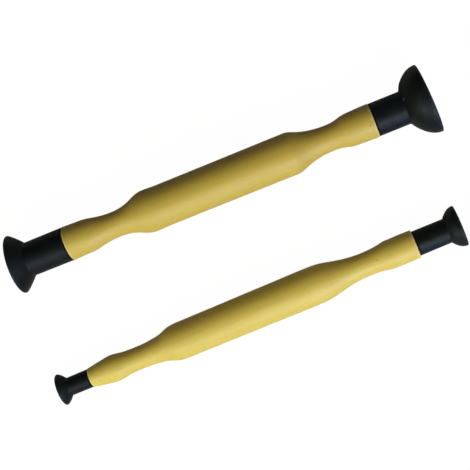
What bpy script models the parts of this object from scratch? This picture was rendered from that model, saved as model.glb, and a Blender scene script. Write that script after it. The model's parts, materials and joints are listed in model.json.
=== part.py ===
"""A set of two double-ended valve lapping sticks, lying side by side.

Each stick is a turned wooden handle with a moulded rubber suction cup pulled over a spigot at each end.
Units are metres and +Z is up. Each stick is built along its own +X, with x = 0 at the left end of its
wooden body, and an empty lays it down on the ground. The origin is the centre of the set's footprint.
"""

from math import atan2, cos, pi, radians, sin

import bmesh
import bpy
from mathutils import Matrix, Vector

MM = 0.001
SEGMENTS = 32  # facets round every turned or moulded piece
GAP = 0.3 * MM  # clearance between a spigot or shoulder and its rubber cup
EDGE = 0.3 * MM  # rounding of the wood's end corners

# Handles, as a turner's drawing gives them: (distance from the left end, radius, taper) in mm.
# The surface runs as one smooth curve through these stations, with the taper as its slope there.
LARGE_LENGTH = 163.6
LARGE_STATIONS = [
    (0.3, 8.85, -0.03),  # left socket end
    (10.5, 8.55, -0.03),
    (17.0, 7.50, -0.20),
    (26.3, 6.55, 0.00),  # left waist
    (36.5, 8.50, 0.42),
    (41.5, 10.45, 0.25),
    (45.0, 10.90, 0.00),  # bead at the head of the barrel
    (52.0, 10.65, 0.00),
    (118.0, 10.70, 0.00),  # barrel
    (121.5, 10.60, -0.16),
    (126.6, 8.85, -0.35),
    (132.5, 7.30, -0.18),
    (141.3, 6.60, 0.00),  # right waist
    (148.2, 7.75, 0.31),
    (152.5, 8.35, 0.03),
    (163.3, 8.60, -0.03),  # right socket end
]
SMALL_LENGTH = 176.5
SMALL_STATIONS = [
    (0.3, 5.05, 0.15),  # left socket end
    (6.0, 6.00, 0.12),
    (12.9, 6.95, 0.03),  # bulb
    (20.0, 6.10, -0.10),
    (27.4, 5.80, 0.00),  # left waist
    (35.5, 6.25, 0.14),
    (41.0, 7.15, 0.25),
    (43.5, 8.05, 0.40),
    (47.5, 9.20, 0.13),
    (54.0, 9.45, 0.00),
    (100.0, 9.60, 0.00),
    (121.0, 9.70, -0.01),  # barrel, a little fuller towards the right
    (130.0, 9.05, -0.19),
    (138.0, 7.30, -0.20),
    (150.0, 6.05, 0.00),  # right waist
    (161.0, 7.10, 0.23),
    (166.0, 7.30, 0.03),
    (176.2, 7.20, -0.05),  # right socket end
]
# Spigots (radius, length) at the left and right ends of each handle
LARGE_SPIGOTS = ((6.0, 15.0), (5.8, 13.0))
SMALL_SPIGOTS = ((2.9, 9.0), (4.0, 13.0))

# Cups, in mm, measured outwards along the stick from the mouth of the neck:
# neck (length, radius at the mouth, radius at the cup), bell (length, rim radius, fullness),
# lip (inner radius and outer radius of its flat face), hollow (depth of the suction dome)
CUP_35 = dict(neck=(15.9, 8.40, 8.40), bell=(13.1, 17.45, 2.10), lip=(15.6, 16.8), hollow=9.5)
CUP_30 = dict(neck=(21.7, 8.80, 8.75), bell=(7.8, 15.15, 1.15), lip=(13.2, 14.4), hollow=5.6)
CUP_21 = dict(neck=(16.1, 6.35, 6.25), bell=(7.1, 10.40, 2.10), lip=(8.9, 9.8), hollow=5.8)
CUP_16 = dict(neck=(11.9, 4.80, 4.75), bell=(4.6, 8.20, 1.40), lip=(6.7, 7.6), hollow=4.8)
RIM_BAND = 0.6  # length of the straight band at the rim, before the lip's edge turns in
SOCKET_SPARE = 0.6  # air left past the end of the spigot

# How the two sticks lie: the small stick beside the large one, turned by a small angle
SMALL_OFFSET = Vector((-17.5 * MM, -64.6 * MM, 0))
SMALL_TURN = radians(1.2)
LARGE_DATUM = 121.8  # stations, in mm, at the points where SMALL_OFFSET is measured
SMALL_DATUM = 120.2

WOOD = ((0.78, 0.53, 0.25, 1), 0.32, 0.0)
RUBBER = ((0.018, 0.018, 0.02, 1), 0.42, 0.0)


def smooth_radius(stations, x):
    """Radius at x: a cubic through the stations that keeps each one's radius and taper."""
    for (x0, r0, m0), (x1, r1, m1) in zip(stations, stations[1:]):
        if x <= x1 or x1 == stations[-1][0]:
            h = x1 - x0
            u = (x - x0) / h
            return (
                r0 * (1 + 2 * u) * (1 - u) ** 2
                + m0 * h * u * (1 - u) ** 2
                + r1 * u * u * (3 - 2 * u)
                + m1 * h * u * u * (u - 1)
            )


def body_profile(stations):
    """Points (x, r) along the turned surface, closer together where it bends."""
    points = []
    for (x0, r0, m0), (x1, r1, m1) in zip(stations, stations[1:]):
        bend = abs(m1 - m0) + abs((r1 - r0) / (x1 - x0) - m0)
        steps = 1 if bend < 0.02 else 2 if bend < 0.2 else 3
        for i in range(steps):
            x = x0 + (x1 - x0) * i / steps
            points.append((x, smooth_radius(stations, x)))
    points.append(stations[-1][:2])
    return points


def handle_profile(length, stations, spigots):
    """Closed half section of a handle, from the tip of its left spigot to the tip of its right one."""
    (left_r, left_l), (right_r, right_l) = spigots
    chamfer = 0.6
    edge = EDGE / MM
    r_start, r_end = stations[0][1], stations[-1][1]
    return (
        [(-left_l, 0), (-left_l, left_r - chamfer), (-left_l + chamfer, left_r), (0, left_r)]
        + [(0, r_start - edge)]
        + body_profile(stations)
        + [(length, r_end - edge)]
        + [(length, right_r), (length + right_l - chamfer, right_r), (length + right_l, right_r - chamfer)]
        + [(length + right_l, 0)]
    )


def cup_profile(cup, spigot):
    """Closed half section of a cup, with x = 0 at the mouth of its neck and its rim at the far end."""
    spigot_r, spigot_l = spigot
    gap = GAP / MM
    neck_l, mouth_r, neck_r = cup["neck"]
    bell_l, rim_r, fullness = cup["bell"]
    lip_in, lip_out = cup["lip"]
    hollow = cup["hollow"]
    end = neck_l + bell_l
    outer = []
    steps = 6
    band = bell_l - RIM_BAND
    for i in range(1, steps + 1):
        x = band * i / steps
        outer.append((neck_l + x, neck_r + (rim_r - neck_r) * (1 - max(0, 1 - x / band) ** fullness)))
    dome = []
    steps = 6
    for i in range(steps + 1):
        a = 0.5 * pi * i / steps
        dome.append((end - hollow * sin(a), lip_in * cos(a)))
    dome[-1] = (end - hollow, 0)
    socket_r = spigot_r + gap
    socket_l = spigot_l + SOCKET_SPARE - gap
    return (
        [(socket_l, 0), (socket_l, socket_r), (0, socket_r), (0, mouth_r - 0.25), (0.25, mouth_r)]
        + [(neck_l, neck_r)]
        + outer
        + [(end, lip_out)]
        + dome
    )


def turned(name, profile, colour, parent, place):
    """One closed piece: the half section spun about the stick's axis."""
    mesh = bpy.data.meshes.new(name)
    bm = bmesh.new()
    verts = [bm.verts.new((x * MM, 0, r * MM)) for x, r in profile]
    edges = [bm.edges.new(pair) for pair in zip(verts, verts[1:])]
    bmesh.ops.spin(
        bm, geom=verts + edges, cent=(0, 0, 0), axis=(1, 0, 0), angle=2 * pi, steps=SEGMENTS, use_duplicate=False
    )
    bmesh.ops.remove_doubles(bm, verts=bm.verts, dist=1e-6)
    bmesh.ops.recalc_face_normals(bm, faces=bm.faces)
    bm.to_mesh(mesh)
    bm.free()
    mesh.shade_smooth()
    mesh.set_sharp_from_angle(angle=radians(35))
    (rgba, roughness, metallic) = colour
    material = bpy.data.materials.new(name)
    material.use_nodes = True
    shader = material.node_tree.nodes["Principled BSDF"]
    shader.inputs["Base Color"].default_value = rgba
    shader.inputs["Roughness"].default_value = roughness
    shader.inputs["Metallic"].default_value = metallic
    material.diffuse_color = rgba
    mesh.materials.append(material)
    obj = bpy.data.objects.new(name, mesh)
    bpy.context.scene.collection.objects.link(obj)
    obj.parent = parent
    obj.matrix_local = place
    return obj


def empty(name):
    obj = bpy.data.objects.new(name, None)
    obj.empty_display_size = 0.02
    bpy.context.scene.collection.objects.link(obj)
    return obj


def contacts(length, stations, left, right):
    """Points (x, r) that could touch the ground under a stick, in the stick's own stations."""
    found = list(body_profile(stations))
    found.append((length + GAP / MM + right["neck"][0] + right["bell"][0] - RIM_BAND, right["bell"][1]))
    found.append((-GAP / MM - left["neck"][0] - left["bell"][0] + RIM_BAND, left["bell"][1]))
    return found


def lay_down(points):
    """Tilt and axis height with which a round stick rests on the ground on two of these points."""
    centre = sum(x for x, _ in points[:-2]) / len(points[:-2])
    rim = points[-2]
    best = None
    for x, r in points:
        if x >= centre or (x, r) == rim:
            continue
        slope = (rim[1] - r) / (rim[0] - x)
        if best is None or slope < best[0]:
            best = (slope, x, r)
    tilt = atan2(best[0], 1)
    height = rim[1] * cos(tilt) - rim[0] * sin(tilt)
    return tilt, height


def stick(name, length, stations, spigots, cups, names):
    """Builds one stick under its own empty and returns the empty, its tilt and its axis height."""
    base = empty(name)
    (left, left_name), (right, right_name) = zip(cups, names[1:])
    turned(names[0], handle_profile(length, stations, spigots), WOOD, base, Matrix())
    flip = Matrix.Rotation(pi, 4, "Z")
    turned(left_name, cup_profile(left, spigots[0]), RUBBER, base, Matrix.Translation((-GAP, 0, 0)) @ flip)
    turned(right_name, cup_profile(right, spigots[1]), RUBBER, base, Matrix.Translation((length * MM + GAP, 0, 0)))
    tilt, height = lay_down(contacts(length, stations, left, right))
    return base, tilt, height


def main():
    for obj in list(bpy.data.objects):
        bpy.data.objects.remove(obj)

    large, tilt, height = stick(
        "large_stick",
        LARGE_LENGTH,
        LARGE_STATIONS,
        LARGE_SPIGOTS,
        (CUP_30, CUP_35),
        ("large_handle", "large_cup_30mm", "large_cup_35mm"),
    )
    datum = Vector((LARGE_DATUM * MM, 0, 0))
    large.matrix_world = (
        Matrix.Translation((0, 0, height * MM)) @ Matrix.Rotation(-tilt, 4, "Y")
    )
    point = large.matrix_world @ datum
    large.matrix_world = Matrix.Translation((-point.x, 0, 0)) @ large.matrix_world

    small, tilt, height = stick(
        "small_stick",
        SMALL_LENGTH,
        SMALL_STATIONS,
        SMALL_SPIGOTS,
        (CUP_16, CUP_21),
        ("small_handle", "small_cup_16mm", "small_cup_21mm"),
    )
    datum = Vector((SMALL_DATUM * MM, 0, 0))
    small.matrix_world = (
        Matrix.Rotation(SMALL_TURN, 4, "Z")
        @ Matrix.Translation((0, 0, height * MM))
        @ Matrix.Rotation(-tilt, 4, "Y")
    )
    point = small.matrix_world @ datum
    small.matrix_world = (
        Matrix.Translation((SMALL_OFFSET.x - point.x, SMALL_OFFSET.y - point.y, 0)) @ small.matrix_world
    )

    # The origin goes to the centre of the set's footprint, on the ground.
    bpy.context.view_layer.update()
    corners = [
        obj.matrix_world @ vert.co for obj in bpy.data.objects if obj.type == "MESH" for vert in obj.data.vertices
    ]
    middle_x = 0.5 * (min(c.x for c in corners) + max(c.x for c in corners))
    middle_y = 0.5 * (min(c.y for c in corners) + max(c.y for c in corners))
    ground = min(c.z for c in corners)
    shift = Matrix.Translation((-middle_x, -middle_y, -ground))
    large.matrix_world = shift @ large.matrix_world
    small.matrix_world = shift @ small.matrix_world
    bpy.context.view_layer.update()


main()
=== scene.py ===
"""Looks of the set of two double-ended valve lapping sticks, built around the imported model.

Each turned handle and each moulded rubber cup is a fine piece that stands for its CAD solid and rides on its body.
Lengths inside the profiles are in millimetres; everything that reaches Blender is in metres.
"""

import json
from math import cos, pi, radians, sin, sqrt

import bpy
import numpy as np
from mathutils import Matrix, Vector


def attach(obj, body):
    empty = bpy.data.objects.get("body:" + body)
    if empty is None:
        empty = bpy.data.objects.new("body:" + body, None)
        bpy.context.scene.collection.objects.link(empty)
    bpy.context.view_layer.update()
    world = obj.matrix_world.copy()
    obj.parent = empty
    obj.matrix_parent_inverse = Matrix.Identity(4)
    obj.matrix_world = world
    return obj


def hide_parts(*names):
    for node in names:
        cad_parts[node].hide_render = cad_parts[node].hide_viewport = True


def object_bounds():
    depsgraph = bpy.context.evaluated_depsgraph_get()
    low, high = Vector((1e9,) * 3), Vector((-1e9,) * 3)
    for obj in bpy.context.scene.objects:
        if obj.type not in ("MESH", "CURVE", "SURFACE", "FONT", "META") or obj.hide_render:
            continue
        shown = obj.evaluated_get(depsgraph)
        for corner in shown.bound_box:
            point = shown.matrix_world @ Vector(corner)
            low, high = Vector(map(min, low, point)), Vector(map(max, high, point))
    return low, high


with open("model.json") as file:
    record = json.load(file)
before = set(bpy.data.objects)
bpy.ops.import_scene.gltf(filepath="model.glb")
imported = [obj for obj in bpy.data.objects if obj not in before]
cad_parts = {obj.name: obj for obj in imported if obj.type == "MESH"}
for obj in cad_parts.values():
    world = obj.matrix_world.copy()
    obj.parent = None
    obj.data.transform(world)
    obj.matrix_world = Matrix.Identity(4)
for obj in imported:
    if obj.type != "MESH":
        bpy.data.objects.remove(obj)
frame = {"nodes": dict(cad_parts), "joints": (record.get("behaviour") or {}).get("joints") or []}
CAD_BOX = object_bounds()

MM = 0.001

# ---------------------------------------------------------------- shapes, as the CAD has them

LARGE_LENGTH = 163.6
LARGE_STATIONS = [
    (0.3, 8.85, -0.03),
    (10.5, 8.55, -0.03),
    (17.0, 7.50, -0.20),
    (26.3, 6.55, 0.00),
    (36.5, 8.50, 0.42),
    (41.5, 10.45, 0.25),
    (45.0, 10.90, 0.00),
    (52.0, 10.65, 0.00),
    (118.0, 10.70, 0.00),
    (121.5, 10.60, -0.16),
    (126.6, 8.85, -0.35),
    (132.5, 7.30, -0.18),
    (141.3, 6.60, 0.00),
    (148.2, 7.75, 0.31),
    (152.5, 8.35, 0.03),
    (163.3, 8.60, -0.03),
]
SMALL_LENGTH = 176.5
SMALL_STATIONS = [
    (0.3, 5.05, 0.15),
    (6.0, 6.00, 0.12),
    (12.9, 6.95, 0.03),
    (20.0, 6.10, -0.10),
    (27.4, 5.80, 0.00),
    (35.5, 6.25, 0.14),
    (41.0, 7.15, 0.25),
    (43.5, 8.05, 0.40),
    (47.5, 9.20, 0.13),
    (54.0, 9.45, 0.00),
    (100.0, 9.60, 0.00),
    (121.0, 9.70, -0.01),
    (130.0, 9.05, -0.19),
    (138.0, 7.30, -0.20),
    (150.0, 6.05, 0.00),
    (161.0, 7.10, 0.23),
    (166.0, 7.30, 0.03),
    (176.2, 7.20, -0.05),
]
LARGE_SPIGOTS = ((6.0, 15.0), (5.8, 13.0))
SMALL_SPIGOTS = ((2.9, 9.0), (4.0, 13.0))
CUP_35 = dict(neck=(15.9, 8.40, 8.40), bell=(13.1, 17.45, 2.10), lip=(15.6, 16.8), hollow=9.5)
CUP_30 = dict(neck=(21.7, 8.80, 8.75), bell=(7.8, 15.15, 1.15), lip=(13.2, 14.4), hollow=5.6)
CUP_21 = dict(neck=(16.1, 6.35, 6.25), bell=(7.1, 10.40, 2.10), lip=(8.9, 9.8), hollow=5.8)
CUP_16 = dict(neck=(11.9, 4.80, 4.75), bell=(4.6, 8.20, 1.40), lip=(6.7, 7.6), hollow=4.8)
RIM_BAND = 0.6
SOCKET_SPARE = 0.6
GAP = 0.3
MOUTH = -0.27  # the soft mouth of each neck sits against the wood's shoulder
LARGE_DATUM = 121.8


def smooth_radius(stations, x):
    for (x0, r0, m0), (x1, r1, m1) in zip(stations, stations[1:]):
        if x <= x1 or x1 == stations[-1][0]:
            h = x1 - x0
            u = (x - x0) / h
            return (
                r0 * (1 + 2 * u) * (1 - u) ** 2
                + m0 * h * u * (1 - u) ** 2
                + r1 * u * u * (3 - 2 * u)
                + m1 * h * u * u * (u - 1)
            )


def spaced(points, step):
    """The polyline with points added so that none are further apart than step."""
    out = [points[0]]
    for a, b in zip(points, points[1:]):
        d = sqrt(sum((q - p) ** 2 for p, q in zip(a[:2], b[:2])))
        n = max(1, int(np.ceil(d / step)))
        for i in range(1, n + 1):
            out.append(tuple(p + (q - p) * i / n for p, q in zip(a, b)))
    return out


def rounded(a, corner, b, n=6, **marks):
    """Points of a smooth corner from a to b, without a and b themselves."""
    out = []
    for i in range(1, n):
        t = i / n
        out.append(tuple((1 - t) ** 2 * p + 2 * t * (1 - t) * q + t * t * r for p, q, r in zip(a, corner, b)))
    return out


# Each profile point is (x, r, worn, bare): worn marks a rubbed edge, bare marks raw wood or an inner surface; on a cup
# it also marks a thin band of the neck by the mouth, and the rubber paints these marked faces near-black as painted
# shade in the joint.


def handle_points(length, stations, spigots):
    """Half section of a handle, from the centre of its left spigot's tip to that of its right one."""

    def spigot(side, radius, reach, shoulder_r):
        """From the tip's centre to the shoulder, for the left end; the right end mirrors it."""
        at = lambda x: x if side < 0 else length - x  # noqa: E731
        dimple_r, dimple_d = 0.22 * radius, 0.24 * radius
        edge = 0.6
        pts = [(-reach + dimple_d, 0.0, 0, 1), (-reach, dimple_r, 0, 1)]
        pts += spaced([(-reach, dimple_r + 0.05, 0, 1), (-reach, radius - edge, 0, 1)], 0.35)
        pts += rounded((-reach, radius - edge, 0, 1), (-reach, radius, 0, 1), (-reach + edge, radius, 0, 1), 7)
        pts += spaced([(-reach + edge, radius, 0, 1), (-0.35, radius, 0, 1)], 0.6)
        pts += rounded((-0.35, radius, 0, 1), (0, radius, 0, 1), (0, radius + 0.3, 0, 1), 5)
        pts += spaced([(0, radius + 0.3, 0, 1), (0, shoulder_r, 0, 1)], 0.35)
        return [(at(x), r, w, b) for x, r, w, b in pts]

    r_start, r_end = stations[0][1], stations[-1][1]
    edge = 0.5
    left = spigot(-1, *spigots[0], r_start - edge)
    right = spigot(1, *spigots[1], r_end - edge)
    near = smooth_radius(stations, 0.55)
    far = smooth_radius(stations, length - 0.55)
    pts = left
    pts += rounded((0, r_start - edge, 1, 0), (0.0, r_start, 1, 0), (0.55, near, 1, 0), 8)
    n = int((length - 1.1) / 0.7)
    for i in range(n + 1):
        x = 0.55 + (length - 1.1) * i / n
        worn = max(0.0, 1 - min(x, length - x) / 1.4)
        pts.append((x, smooth_radius(stations, x), worn, 0))
    pts += rounded((length - 0.55, far, 1, 0), (length, r_end, 1, 0), (length, r_end - edge, 1, 0), 8)
    pts += right[::-1]
    return pts


def cup_points(cup, spigot):
    """Half section of a cup: socket, mouth, neck, bell, lip and hollow, with x = 0 at the mouth."""
    spigot_r, spigot_l = spigot
    neck_l, mouth_r, neck_r = cup["neck"]
    bell_l, rim_r, fullness = cup["bell"]
    lip_in, lip_out = cup["lip"]
    hollow = cup["hollow"]
    end = neck_l + bell_l
    band = bell_l - RIM_BAND
    socket_r = spigot_r + GAP
    socket_l = spigot_l + SOCKET_SPARE - GAP

    def neck_at(x):
        return mouth_r + (neck_r - mouth_r) * x / neck_l

    # socket, from its blind end out to the mouth
    pts = [(socket_l, 0.0, 0, 1)]
    pts += spaced([(socket_l, 0.35, 0, 1), (socket_l, socket_r - 0.8, 0, 1)], 0.7)
    pts += rounded((socket_l, socket_r - 0.8, 0, 1), (socket_l, socket_r, 0, 1), (socket_l - 0.8, socket_r, 0, 1), 6)
    pts += spaced([(socket_l - 0.8, socket_r, 0, 1), (0.5, socket_r, 0, 1)], 1.2)
    pts += rounded((0.5, socket_r, 0, 1), (0.1, socket_r, 0, 1), (MOUTH, socket_r + 0.3, 0, 1), 5)
    pts += spaced([(MOUTH, socket_r + 0.3, 0, 1), (MOUTH, mouth_r - 0.3, 0, 1)], 0.5)
    pts += rounded((MOUTH, mouth_r - 0.3, 0, 1), (MOUTH, mouth_r - 0.05, 0, 1), (0.0, mouth_r, 0, 1), 5)
    # the neck's first 0.45 mm by the mouth carries the bare mark, which the rubber paints near-black as painted shade
    # in the joint
    pts += [(0.0, mouth_r, 0, 1), (0.45, neck_at(0.45), 0, 1)]

    def bell(x):
        return neck_r + (rim_r - neck_r) * (1 - max(0.0, 1 - x / band) ** fullness)

    # neck, with a small fillet into the bell
    fillet = 0.055 * neck_r
    on_neck = neck_l - fillet
    pts += spaced([(0.7, neck_at(0.7), 0, 0), (on_neck - 2.4, neck_at(on_neck), 0, 0)], 0.5)
    pts += spaced([(on_neck - 2.4, neck_at(on_neck), 0, 0), (on_neck, neck_at(on_neck), 0, 0)], 0.17)[1:]
    on_bell = fillet * 0.8
    pts += rounded(
        (on_neck, neck_at(on_neck), 0, 0), (neck_l, neck_r, 0, 0), (neck_l + on_bell, bell(on_bell), 0, 0), 7
    )
    x = on_bell
    while x < band - 1e-6:
        near = min(1.0, (x - on_bell) / 2.5)
        worn = max(0.0, 1 - (band - x) / 1.2)
        pts.append((neck_l + x, bell(x), 0.6 * worn * worn, 0))
        slope = (rim_r - neck_r) * fullness / band * max(0.0, 1 - x / band) ** (fullness - 1)
        x += (0.17 + 0.33 * near) / sqrt(1 + slope * slope) * rim_r / 17.45
    # rounded edge of the rim, narrow flat lip, then the suction hollow
    n = 8
    for i in range(n + 1):
        a = 0.5 * pi * i / n
        pts.append((end - RIM_BAND * (1 - sin(a)), lip_out + (rim_r - lip_out) * cos(a), 0.9, 0))
    pts += spaced([(end, lip_out, 0.8, 0), (end, lip_in + 0.35, 0.5, 0)], 0.3)[1:]
    first = 0.055
    edge_in = (end - hollow * sin(first), lip_in * cos(first), 0.2, 0)
    pts += rounded((end, lip_in + 0.35, 0.5, 0), (end, lip_in, 0.5, 0), edge_in, 6)
    n = 40
    pin = 0.17 * rim_r
    for i in range(n + 1):
        a = first + (0.5 * pi - first) * (i / n)
        r = lip_in * cos(a) if i < n else 0.0
        step = min(1.0, max(0.0, (pin + 0.25 - r) / 0.5))
        pts.append((end - hollow * sin(a) - 0.16 * step * step * (3 - 2 * step), r, 0, 0))
    return pts


def turned(name, points, place, segments, shape):
    """The half section spun about X as one closed mesh, with its marks as vertex attributes.

    shape(x, angle, radius) may move a ring's points a little along the radius and returns the moved radius."""
    kept = [points[0]]
    for p in points[1:]:
        if abs(p[0] - kept[-1][0]) + abs(p[1] - kept[-1][1]) > 1e-4:
            kept.append(p)
    pts = np.array(kept, float)
    rings = pts[1:-1]
    angle = 2 * pi * np.arange(segments) / segments
    x = np.repeat(rings[:, 0], segments)
    r = np.repeat(rings[:, 1], segments)
    a = np.tile(angle, len(rings))

    def spun(x, r):
        return np.vstack([[pts[0, 0], 0, 0], np.stack([x, r * np.cos(a), r * np.sin(a)], 1), [pts[-1, 0], 0, 0]]) * MM

    own = spun(x, r)
    co = spun(*shape(x, a, r))
    n, s = len(rings), segments
    faces = []
    nxt = (np.arange(s) + 1) % s
    for k in range(s):
        faces.append((0, 1 + nxt[k], 1 + k))
    for i in range(n - 1):
        base = 1 + i * s
        for k in range(s):
            faces.append((base + k, base + nxt[k], base + s + nxt[k], base + s + k))
    base, last = 1 + (n - 1) * s, 1 + n * s
    for k in range(s):
        faces.append((last, base + k, base + nxt[k]))
    mesh = bpy.data.meshes.new(name)
    mesh.from_pydata([tuple(c) for c in co], [], [tuple(int(v) for v in f) for f in faces])
    mesh.update()
    tri = np.array([f[:3] for f in faces])
    quad = np.array([(f[0], f[2], f[3]) for f in faces if len(f) == 4])
    volume = sum(np.einsum("ij,ij->i", co[t[:, 0]], np.cross(co[t[:, 1]], co[t[:, 2]])).sum() for t in (tri, quad))
    if volume < 0:
        mesh.flip_normals()
    for i, mark in ((2, "worn"), (3, "bare")):
        values = np.concatenate([[pts[0, i]], np.repeat(rings[:, i], segments), [pts[-1, i]]]).astype(np.float32)
        mesh.attributes.new(mark, "FLOAT", "POINT").data.foreach_set("value", values)
    # Where each point lies along and across the piece, in metres, for the grain and the mould marks
    mesh.attributes.new("own", "FLOAT_VECTOR", "POINT").data.foreach_set("vector", own.astype(np.float32).ravel())
    mesh.transform(place)
    mesh.shade_smooth()
    mesh.set_sharp_from_angle(angle=radians(48))
    obj = bpy.data.objects.new(name, mesh)
    bpy.context.scene.collection.objects.link(obj)
    return obj


# ---------------------------------------------------------------- where each stick lies


def stick_frame(node, spigots, joint):
    """Placement of a stick: its own +X along the axis, its zero at the wood's left end.

    The direction is that of the joint on which its right cup pulls off; the ends are the CAD handle's two flat tips."""
    along = Vector(next(j["axis"] for j in frame["joints"] if j["name"] == joint)).normalized()
    co = np.array([v.co for v in frame["nodes"][node].data.vertices], float)
    reach = co @ np.array(along)
    tip = np.unique(np.round(co[reach < reach.min() + 2e-5], 7), axis=0)
    left = Vector(0.5 * (tip.min(0) + tip.max(0)))
    start = left + along * spigots[0][1] * MM
    side = Vector((0, 0, 1)).cross(along).normalized()
    up = along.cross(side)
    place = Matrix((along, side, up)).transposed().to_4x4()
    place.translation = start
    return place


LARGE = stick_frame("large_handle", LARGE_SPIGOTS, "large_cup_35mm_pull")
SMALL = stick_frame("small_handle", SMALL_SPIGOTS, "small_cup_21mm_pull")

# ---------------------------------------------------------------- materials


class Nodes:
    """A small helper that adds shader nodes and joins them."""

    def __init__(self, name):
        self.material = bpy.data.materials.new(name)
        self.material.use_nodes = True
        self.tree = self.material.node_tree
        self.shader = self.tree.nodes["Principled BSDF"]

    def add(self, kind, **settings):
        node = self.tree.nodes.new(kind)
        for key, value in settings.items():
            setattr(node, key, value)
        return node

    def link(self, a, b):
        self.tree.links.new(a, b)

    def put(self, socket, value):
        if isinstance(value, bpy.types.NodeSocket):
            self.link(value, socket)
        else:
            socket.default_value = value

    def math(self, operation, a, b=0.0, c=0.0, clamp=False):
        node = self.add("ShaderNodeMath", operation=operation, use_clamp=clamp)
        for socket, value in zip(node.inputs, (a, b, c)):
            self.put(socket, value)
        return node.outputs[0]

    def spread(self, value, low, high, to_low=0.0, to_high=1.0):
        node = self.add("ShaderNodeMapRange", interpolation_type="SMOOTHSTEP")
        for key, v in (("Value", value), ("From Min", low), ("From Max", high), ("To Min", to_low), ("To Max", to_high)):
            self.put(node.inputs[key], v)
        return node.outputs["Result"]

    def mix(self, factor, a, b):
        node = self.add("ShaderNodeMix", data_type="RGBA")
        self.put(node.inputs["Factor"], factor)
        for name, value in (("A", a), ("B", b)):
            socket = next(s for s in node.inputs if s.name == name and s.type == "RGBA")
            self.put(socket, (*value, 1.0) if isinstance(value, tuple) and len(value) == 3 else value)
        return next(s for s in node.outputs if s.type == "RGBA")

    def own(self):
        return self.add("ShaderNodeAttribute", attribute_name="own", attribute_type="GEOMETRY").outputs["Vector"]

    def place(self, scale=(1, 1, 1), offset=(0, 0, 0)):
        mapping = self.add("ShaderNodeMapping")
        self.link(self.own(), mapping.inputs["Vector"])
        mapping.inputs["Scale"].default_value = scale
        mapping.inputs["Location"].default_value = offset
        return mapping.outputs["Vector"]

    def noise(self, vector, scale=1.0, detail=2.0, roughness=0.5, distortion=0.0):
        node = self.add("ShaderNodeTexNoise")
        self.link(vector, node.inputs["Vector"])
        node.inputs["Scale"].default_value = scale
        node.inputs["Detail"].default_value = detail
        node.inputs["Roughness"].default_value = roughness
        node.inputs["Distortion"].default_value = distortion
        return node.outputs["Fac"]

    def mark(self, name):
        node = self.add("ShaderNodeAttribute", attribute_name=name, attribute_type="GEOMETRY")
        return node.outputs["Fac"]

    def bump(self, height, distance, strength=1.0, normal=None):
        node = self.add("ShaderNodeBump")
        node.inputs["Strength"].default_value = strength
        node.inputs["Distance"].default_value = distance
        self.link(height, node.inputs["Height"])
        if normal is not None:
            self.link(normal, node.inputs["Normal"])
        return node.outputs["Normal"]


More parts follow.
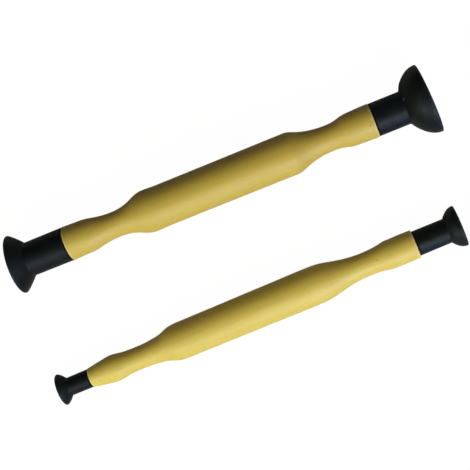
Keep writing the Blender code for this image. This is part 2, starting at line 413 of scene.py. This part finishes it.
def wood(name, seed, pith, flecks=(), tint=(1.0, 1.0, 1.0), bare=False):
    """Turned hardwood, under a mustard satin lacquer or raw.

    The grain is solid: growth rings round a pith line beside the piece, long fibres, and short pores along them."""
    n = Nodes(name)
    shift = (seed * 0.731, seed * 0.417, seed * 0.283)

    place = n.own()
    split = n.add("ShaderNodeSeparateXYZ")
    n.link(place, split.inputs[0])
    wander = n.noise(n.place((14, 60, 60), shift), detail=2.0)
    y = n.math("ADD", split.outputs["Y"], -pith[0])
    z = n.math("ADD", split.outputs["Z"], -pith[1])
    z = n.math("MULTIPLY_ADD", split.outputs["X"], 0.03, z)
    distance = n.math("SQRT", n.math("ADD", n.math("MULTIPLY", y, y), n.math("MULTIPLY", z, z)))
    distance = n.math("MULTIPLY_ADD", wander, 0.0035, distance)
    ring = n.math("FRACT", n.math("MULTIPLY", distance, 1 / 0.0019))
    late = n.math("MULTIPLY", n.spread(ring, 0.35, 0.93), n.spread(ring, 1.0, 0.95))

    fibre = n.noise(n.place((55, 2300, 2300), shift), detail=4.0, roughness=0.62)
    fine = n.noise(n.place((160, 6500, 6500), shift), detail=2.0, roughness=0.5)
    broad = n.noise(n.place((9, 70, 70), shift), detail=3.0, roughness=0.55)
    pore_field = n.noise(n.place((330, 5200, 5200), shift), detail=1.0, roughness=0.5)
    pores = n.spread(pore_field, 0.655, 0.72)
    pores = n.math("MULTIPLY", pores, n.spread(late, 0.75, 0.15, 0.25, 1.0))

    if bare:
        light, dark, pale, pore = (0.66, 0.49, 0.25), (0.50, 0.33, 0.145), (0.70, 0.55, 0.31), (0.25, 0.15, 0.06)
    else:
        light, dark, pale, pore = WOOD_LIGHT, WOOD_DARK, WOOD_PALE, WOOD_PORE
    light, dark, pale = (tuple(c * t for c, t in zip(colour, tint)) for colour in (light, dark, pale))
    tone = n.math("MULTIPLY_ADD", n.spread(fibre, 0.3, 0.7), 0.30, n.math("MULTIPLY", late, 0.16))
    tone = n.math("ADD", tone, n.math("MULTIPLY_ADD", n.spread(broad, 0.3, 0.7), 0.22, 0.04))
    tone = n.math("ADD", tone, n.math("MULTIPLY", n.spread(fine, 0.35, 0.65), 0.14), clamp=True)
    colour = n.mix(tone, light, dark)
    colour = n.mix(n.math("MULTIPLY", pores, 0.42), colour, pore)
    worn = n.mark("worn")
    rub = n.math("MULTIPLY", n.spread(worn, 0.12, 0.75), n.spread(n.noise(n.place((500, 500, 500), shift), detail=3.0), 0.2, 0.55, 0.55, 1.0))
    colour = n.mix(n.math("MULTIPLY", rub, 0.45), colour, pale)
    for point, size, depth in flecks:
        away = n.add("ShaderNodeVectorMath", operation="DISTANCE")
        n.link(place, away.inputs[0])
        away.inputs[1].default_value = point
        spot = n.spread(away.outputs["Value"], size, 0.35 * size)
        colour = n.mix(n.math("MULTIPLY", spot, depth), colour, (0.16, 0.085, 0.03))
    n.link(colour, n.shader.inputs["Base Color"])

    rough = n.math("MULTIPLY_ADD", n.spread(fibre, 0.3, 0.7), 0.07, WOOD_ROUGH if not bare else 0.62)
    rough = n.math("ADD", rough, n.math("MULTIPLY", n.spread(broad, 0.3, 0.7), 0.05))
    rough = n.math("MULTIPLY_ADD", pores, 0.10, rough)
    rough = n.math("MULTIPLY_ADD", rub, 0.10, rough, clamp=True)
    n.link(rough, n.shader.inputs["Roughness"])
    n.shader.inputs["IOR"].default_value = 1.5
    n.shader.inputs["Specular IOR Level"].default_value = 0.62 if not bare else 0.3
    n.shader.inputs["Specular Tint"].default_value = (0.86, 1.0, 1.0, 1.0)

    # relief: fibres and sunken pores under the lacquer, and the sander's faint rings round the piece
    lathe = n.noise(n.place((2600, 35, 35), shift), detail=2.0)
    height = n.math("MULTIPLY_ADD", fibre, 0.55, n.math("MULTIPLY", fine, 0.25))
    height = n.math("MULTIPLY_ADD", lathe, 0.5 if bare else 0.22, height)
    height = n.math("MULTIPLY_ADD", pores, -0.6, height)
    n.link(n.bump(height, (0.05 if bare else 0.022) * MM), n.shader.inputs["Normal"])
    return n.material


def rubber(name, seed, nub, size, nub_painted_highlight):
    """Moulded black rubber: matt, with the mould's turning marks, a fine grain and a trace of dust; a painted highlight
    on the gate's button and painted shade at the mouth against the wood.
    """
    n = Nodes(name)
    shift = (seed * 0.531, seed * 0.217, seed * 0.683)
    cloud = n.noise(n.place((90, 90, 90), shift), detail=4.0, roughness=0.6)
    grain = n.noise(n.place((4200, 4200, 4200), shift), detail=2.0, roughness=0.55)
    smear = n.noise(n.place((260, 900, 900), shift), detail=3.0, roughness=0.6)
    dust_field = n.noise(n.place((1500, 1500, 1500), shift), detail=3.0, roughness=0.65)
    worn = n.mark("worn")
    socket_and_mouth_painted_shade = n.mark("bare")

    base = n.mix(n.spread(cloud, 0.3, 0.7), RUBBER_DARK, RUBBER_LIGHT)
    dust = n.math("MULTIPLY", n.spread(dust_field, 0.56, 0.74), n.spread(smear, 0.4, 0.7, 0.15, 1.0))
    base = n.mix(n.math("MULTIPLY", dust, 0.30), base, (0.062, 0.062, 0.060))
    rub = n.math("MULTIPLY", worn, n.spread(smear, 0.3, 0.65, 0.35, 1.0))
    base = n.mix(n.math("MULTIPLY", rub, 0.35), base, (0.050, 0.052, 0.056))
    # Painted shade: the socket, the mouth's face and the neck's first half millimetre by the mouth are painted
    # near-black, standing in for the shade in the joint against the wood; they are also made rougher.
    base = n.mix(n.math("MULTIPLY", socket_and_mouth_painted_shade, 0.8), base, (0.0016, 0.0018, 0.0018))
    # Painted highlight: the gate's button is painted a lighter grey, standing in for the light it catches.
    away = n.add("ShaderNodeVectorMath", operation="DISTANCE")
    n.link(n.own(), away.inputs[0])
    away.inputs[1].default_value = nub
    base = n.mix(n.spread(away.outputs["Value"], 0.62 * size, 0.38 * size, 0.0, 0.85), base, nub_painted_highlight)
    n.link(base, n.shader.inputs["Base Color"])

    rough = n.math("MULTIPLY_ADD", n.spread(smear, 0.3, 0.7), 0.10, RUBBER_ROUGH)
    rough = n.math("MULTIPLY_ADD", dust, 0.15, rough)
    rough = n.math("MULTIPLY_ADD", n.spread(cloud, 0.3, 0.7), 0.05, rough)
    rough = n.math("MULTIPLY_ADD", socket_and_mouth_painted_shade, 0.40, rough, clamp=True)
    n.link(rough, n.shader.inputs["Roughness"])
    n.shader.inputs["IOR"].default_value = 1.5
    n.shader.inputs["Specular IOR Level"].default_value = RUBBER_SPECULAR
    n.shader.inputs["Specular Tint"].default_value = (0.72, 0.86, 1.0, 1.0)

    rings = n.noise(n.place((3400, 25, 25), shift), detail=2.0)
    height = n.math("MULTIPLY_ADD", grain, 0.6, n.math("MULTIPLY", rings, 0.45))
    height = n.math("MULTIPLY_ADD", dust_field, 0.25, height)
    n.link(n.bump(height, 0.03 * MM), n.shader.inputs["Normal"])
    return n.material


WOOD_LIGHT = (0.556, 0.424, 0.066)
WOOD_DARK = (0.480, 0.338, 0.040)
WOOD_PALE = (0.680, 0.590, 0.260)
WOOD_PORE = (0.240, 0.140, 0.030)
WOOD_ROUGH = 0.46
RUBBER_DARK = (0.0024, 0.0034, 0.0028)
RUBBER_LIGHT = (0.0042, 0.0054, 0.0054)
RUBBER_ROUGH = 0.41
RUBBER_SPECULAR = 0.225

# ---------------------------------------------------------------- pieces


def spot_on(stations, x, degrees):
    """A point on a handle's surface: x in mm along it, the angle from its own +Y towards +Z."""
    r = smooth_radius(stations, x)
    a = radians(degrees)
    return (x * MM, r * cos(a) * MM, r * sin(a) * MM)


def hand_sanded(seed, length):
    """A few hundredths of a millimetre of unevenness, as a sanded turning has, and never outside the true radius."""

    def shape(x, a, r):
        wave = (
            0.5 * np.sin(2 * a + 0.09 * x + seed)
            + 0.3 * np.sin(3 * a - 0.21 * x + 2.3 * seed)
            + 0.2 * np.sin(0.55 * x + a + 1.7 * seed)
        )
        edge = np.clip(np.minimum(x, length - x) / 4.0, 0, 1)
        return x, r - 0.035 * edge * (0.5 + 0.5 * wave)

    return shape


def moulded(cup, spigot, gate, lean, up):
    """The round stub that the mould's gate leaves, a low button in a shallow ring, and the bell's slight lean.

    Soft as it is, a large cup's bell sets a little askew: its rim tips towards the neck on the side `up` of the stick."""
    x_mid, degrees, size = gate
    a_mid = radians(degrees)
    slope = sin(radians(lean))
    begin, end = spigot[1] + SOCKET_SPARE + 0.3, cup["neck"][0] + 3.0

    def shape(x, a, r):
        turn = np.abs((a - a_mid + pi) % (2 * pi) - pi)
        d = np.sqrt((x - x_mid) ** 2 + (turn * r) ** 2) / size
        outer = r > 0.9 * cup["neck"][2]
        button = 0.42 * np.exp(-((d / 0.50) ** 4))
        ring = -0.22 * np.exp(-(((d - 0.92) / 0.26) ** 2))
        r = r + np.where(outer & (d < 2.5), button + ring, 0.0) * size
        t = np.clip((x - begin) / (end - begin), 0, 1)
        give = t * t * (3 - 2 * t) * slope * (cup["bell"][1] + up * r * np.cos(a))
        return x - give, r - 0.02 * t * min(1.0, lean)

    return shape


large_lacquer = wood(
    "lacquered_wood_large",
    1.0,
    (-0.026, -0.031),
    flecks=((spot_on(LARGE_STATIONS, 161.0, 106.0), 0.55 * MM, 0.8),),
)
small_lacquer = wood(
    "lacquered_wood_small",
    2.0,
    (0.029, -0.034),
    flecks=((spot_on(SMALL_STATIONS, 156.0, 89.0), 0.5 * MM, 0.7),),
    tint=(1.16, 1.21, 1.38),
)
bare_wood = wood("bare_wood", 3.0, (-0.026, -0.031), bare=True)
def dress(obj, body, slot, *materials):
    for material in materials:
        obj.data.materials.append(material)
    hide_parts(body)
    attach(obj, body)
    return obj


def handle(name, body, length, stations, spigots, place, lacquer, seed):
    obj = turned(name, handle_points(length, stations, spigots), place, 144, hand_sanded(seed, length))
    dress(obj, body, "wood", lacquer, bare_wood)
    bare = np.zeros(len(obj.data.vertices), np.float32)
    obj.data.attributes["bare"].data.foreach_get("value", bare)
    for polygon in obj.data.polygons:
        polygon.material_index = int(min(bare[v] for v in polygon.vertices) > 0.5)
    return obj


handle("large_wooden_handle", "large_handle", LARGE_LENGTH, LARGE_STATIONS, LARGE_SPIGOTS, LARGE, large_lacquer, 0.4)
handle("small_wooden_handle", "small_handle", SMALL_LENGTH, SMALL_STATIONS, SMALL_SPIGOTS, SMALL, small_lacquer, 1.9)

FLIP = Matrix.Rotation(pi, 4, "Z")
# Columns: piece, body, cup, spigot, stick, length, segments, gate, lean, nub radius, and the lighter colour painted on
# the gate's button as a painted highlight.
CUPS = (
    ("large_rubber_cup_35mm", "large_cup_35mm", CUP_35, LARGE_SPIGOTS[1], LARGE, LARGE_LENGTH, 256, (16.5, 68.5, 1.35), 2.4, 9.28, (0.050, 0.056, 0.056)),
    ("large_rubber_cup_30mm", "large_cup_30mm", CUP_30, LARGE_SPIGOTS[0], LARGE, None, 224, (21.4, 250.0, 1.0), 2.4, 8.85, (0.030, 0.034, 0.034)),
    ("small_rubber_cup_21mm", "small_cup_21mm", CUP_21, SMALL_SPIGOTS[1], SMALL, SMALL_LENGTH, 192, (15.9, 262.0, 0.8), 0.0, 6.35, (0.030, 0.034, 0.034)),
    ("small_rubber_cup_16mm", "small_cup_16mm", CUP_16, SMALL_SPIGOTS[0], SMALL, None, 176, (11.7, 285.0, 0.7), 0.0, 4.85, (0.030, 0.034, 0.034)),
)
for name, body, cup, spigot, stick, length, segments, gate, lean, nub_r, nub_painted_highlight_colour in CUPS:
    if length is None:
        place = stick @ Matrix.Translation((-GAP * MM, 0, 0)) @ FLIP
    else:
        place = stick @ Matrix.Translation(((length + GAP) * MM, 0, 0))
    shape = moulded(cup, spigot, gate, lean, -1 if length is None else 1)
    obj = turned(name, cup_points(cup, spigot), place, segments, shape)
    x, turn, size = gate
    nub = (x * MM, nub_r * cos(radians(turn)) * MM, nub_r * sin(radians(turn)) * MM)
    dress(obj, body, "rubber", rubber("black_" + name, 1.0 + 0.37 * cup["hollow"], nub, size * MM, nub_painted_highlight_colour))

# ---------------------------------------------------------------- camera

scene = bpy.context.scene
TURN = Vector((0.0015077862659846994, 0.11305204838377911, -0.3765354158497134))
FROM_DATUM = Vector((21.721020490154974, -38.13483208202747, 587.6636570502461)) * MM
datum = LARGE @ Vector((LARGE_DATUM * MM, 0, 0))
view = Matrix.Rotation(TURN.length, 3, TURN.normalized()) @ Matrix.Diagonal((1, -1, -1))
right, down, ahead = (Vector(row) for row in view)
camera = bpy.data.objects.new("camera", bpy.data.cameras.new("camera"))
scene.collection.objects.link(camera)
camera.data.sensor_width = 36
camera.data.lens = 1166.7656525596342 / 470 * 36
camera.data.clip_start, camera.data.clip_end = 0.02, 20
pose = (view.transposed() @ Matrix.Diagonal((1, -1, -1))).to_4x4()
pose.translation = Vector((datum.x, datum.y, 0)) + FROM_DATUM
camera.matrix_world = pose
scene.camera = camera

# ---------------------------------------------------------------- floor and light

LAMPS = (
    ("key", 45, 29, 9.2, (1.0, 0.94, 0.78)),
    ("side", 65, -35, 7.6, (1.0, 0.99, 0.76)),
    ("low", 65, 34, 7.2, (0.26, 0.44, 1.0)),
    ("end", 60, 90, 2.4, (1.0, 0.98, 0.86)),
    ("rim", 60, 180, 0.4, (1.0, 1.0, 0.95)),
)
KEY_SIZE = 0.75
KEY_AWAY = 1.15
AMBIENT_DIFFUSE = (0.036, 0.012, 0.008)
AMBIENT_GLOSSY = (0.050, 0.062, 0.068)
BACKDROP = 0.985
FLOOR_BOUNCE = (0.46, 0.46, 0.46)


def area(name, toward, away, size, watts, colour=(1, 1, 1), centre=None):
    """A soft square lamp, seen from the object in direction `toward`."""
    light = bpy.data.lights.new(name, "AREA")
    light.shape = "SQUARE"
    light.size = size
    light.energy = watts
    light.color = colour
    lamp = bpy.data.objects.new(name, light)
    scene.collection.objects.link(lamp)
    middle = centre if centre is not None else 0.5 * (CAD_BOX[0] + CAD_BOX[1])
    lamp.location = middle + toward.normalized() * away
    lamp.rotation_mode = "QUATERNION"
    lamp.rotation_quaternion = toward.to_track_quat("Z", "Y")
    return lamp




def seen_from(tilt, turn):
    """A direction tilted from the camera's towards the picture's foot, and turned from there to its right."""
    t, p = radians(tilt), radians(turn)
    return -ahead * cos(t) + (down * cos(p) + right * sin(p)) * sin(t)


for name, tilt, turn, watts, colour in LAMPS:
    area(name, seen_from(tilt, turn), KEY_AWAY, KEY_SIZE, watts, colour)

floor_mesh = bpy.data.meshes.new("floor")
half = 3.0
floor_mesh.from_pydata([(-half, -half, 0), (half, -half, 0), (half, half, 0), (-half, half, 0)], [], [(0, 1, 2, 3)])
floor = bpy.data.objects.new("floor", floor_mesh)
scene.collection.objects.link(floor)
floor.location.z = -0.00002
floor.visible_shadow = False
paper = bpy.data.materials.new("paper")
paper.use_nodes = True
tree = paper.node_tree
tree.nodes.clear()
out = tree.nodes.new("ShaderNodeOutputMaterial")
seen = tree.nodes.new("ShaderNodeLightPath")
glow = tree.nodes.new("ShaderNodeEmission")
glow.inputs["Strength"].default_value = 0.985
faint = tree.nodes.new("ShaderNodeBsdfDiffuse")
faint.inputs["Color"].default_value = (0.03, 0.03, 0.03, 1)
white = tree.nodes.new("ShaderNodeAddShader")
tree.links.new(glow.outputs[0], white.inputs[0])
tree.links.new(faint.outputs[0], white.inputs[1])
matt = tree.nodes.new("ShaderNodeBsdfDiffuse")
matt.inputs["Color"].default_value = (*FLOOR_BOUNCE, 1)
either = tree.nodes.new("ShaderNodeMixShader")
tree.links.new(seen.outputs["Is Camera Ray"], either.inputs["Fac"])
tree.links.new(matt.outputs[0], either.inputs[1])
tree.links.new(white.outputs[0], either.inputs[2])
clear = tree.nodes.new("ShaderNodeBsdfTransparent")
side = tree.nodes.new("ShaderNodeNewGeometry")
pick = tree.nodes.new("ShaderNodeMixShader")
tree.links.new(side.outputs["Backfacing"], pick.inputs["Fac"])
tree.links.new(either.outputs[0], pick.inputs[1])
tree.links.new(clear.outputs[0], pick.inputs[2])
tree.links.new(pick.outputs[0], out.inputs["Surface"])
floor_mesh.materials.append(paper)

world = bpy.data.worlds.new("studio")
scene.world = world
world.use_nodes = True
tree = world.node_tree
tree.nodes.clear()
out = tree.nodes.new("ShaderNodeOutputWorld")
path = tree.nodes.new("ShaderNodeLightPath")


def sky(colour, strength=1.0):
    node = tree.nodes.new("ShaderNodeBackground")
    node.inputs["Color"].default_value = (*colour, 1)
    node.inputs["Strength"].default_value = strength
    return node


soft, shine, back = sky(AMBIENT_DIFFUSE), sky(AMBIENT_GLOSSY), sky((BACKDROP, BACKDROP, BACKDROP))
first = tree.nodes.new("ShaderNodeMixShader")
second = tree.nodes.new("ShaderNodeMixShader")
tree.links.new(path.outputs["Is Glossy Ray"], first.inputs["Fac"])
tree.links.new(soft.outputs[0], first.inputs[1])
tree.links.new(shine.outputs[0], first.inputs[2])
tree.links.new(path.outputs["Is Camera Ray"], second.inputs["Fac"])
tree.links.new(first.outputs[0], second.inputs[1])
tree.links.new(back.outputs[0], second.inputs[2])
tree.links.new(second.outputs[0], out.inputs["Surface"])

scene.view_settings.view_transform = "Standard"
scene.view_settings.look = "None"
scene.view_settings.exposure = 0
scene.view_settings.gamma = 1
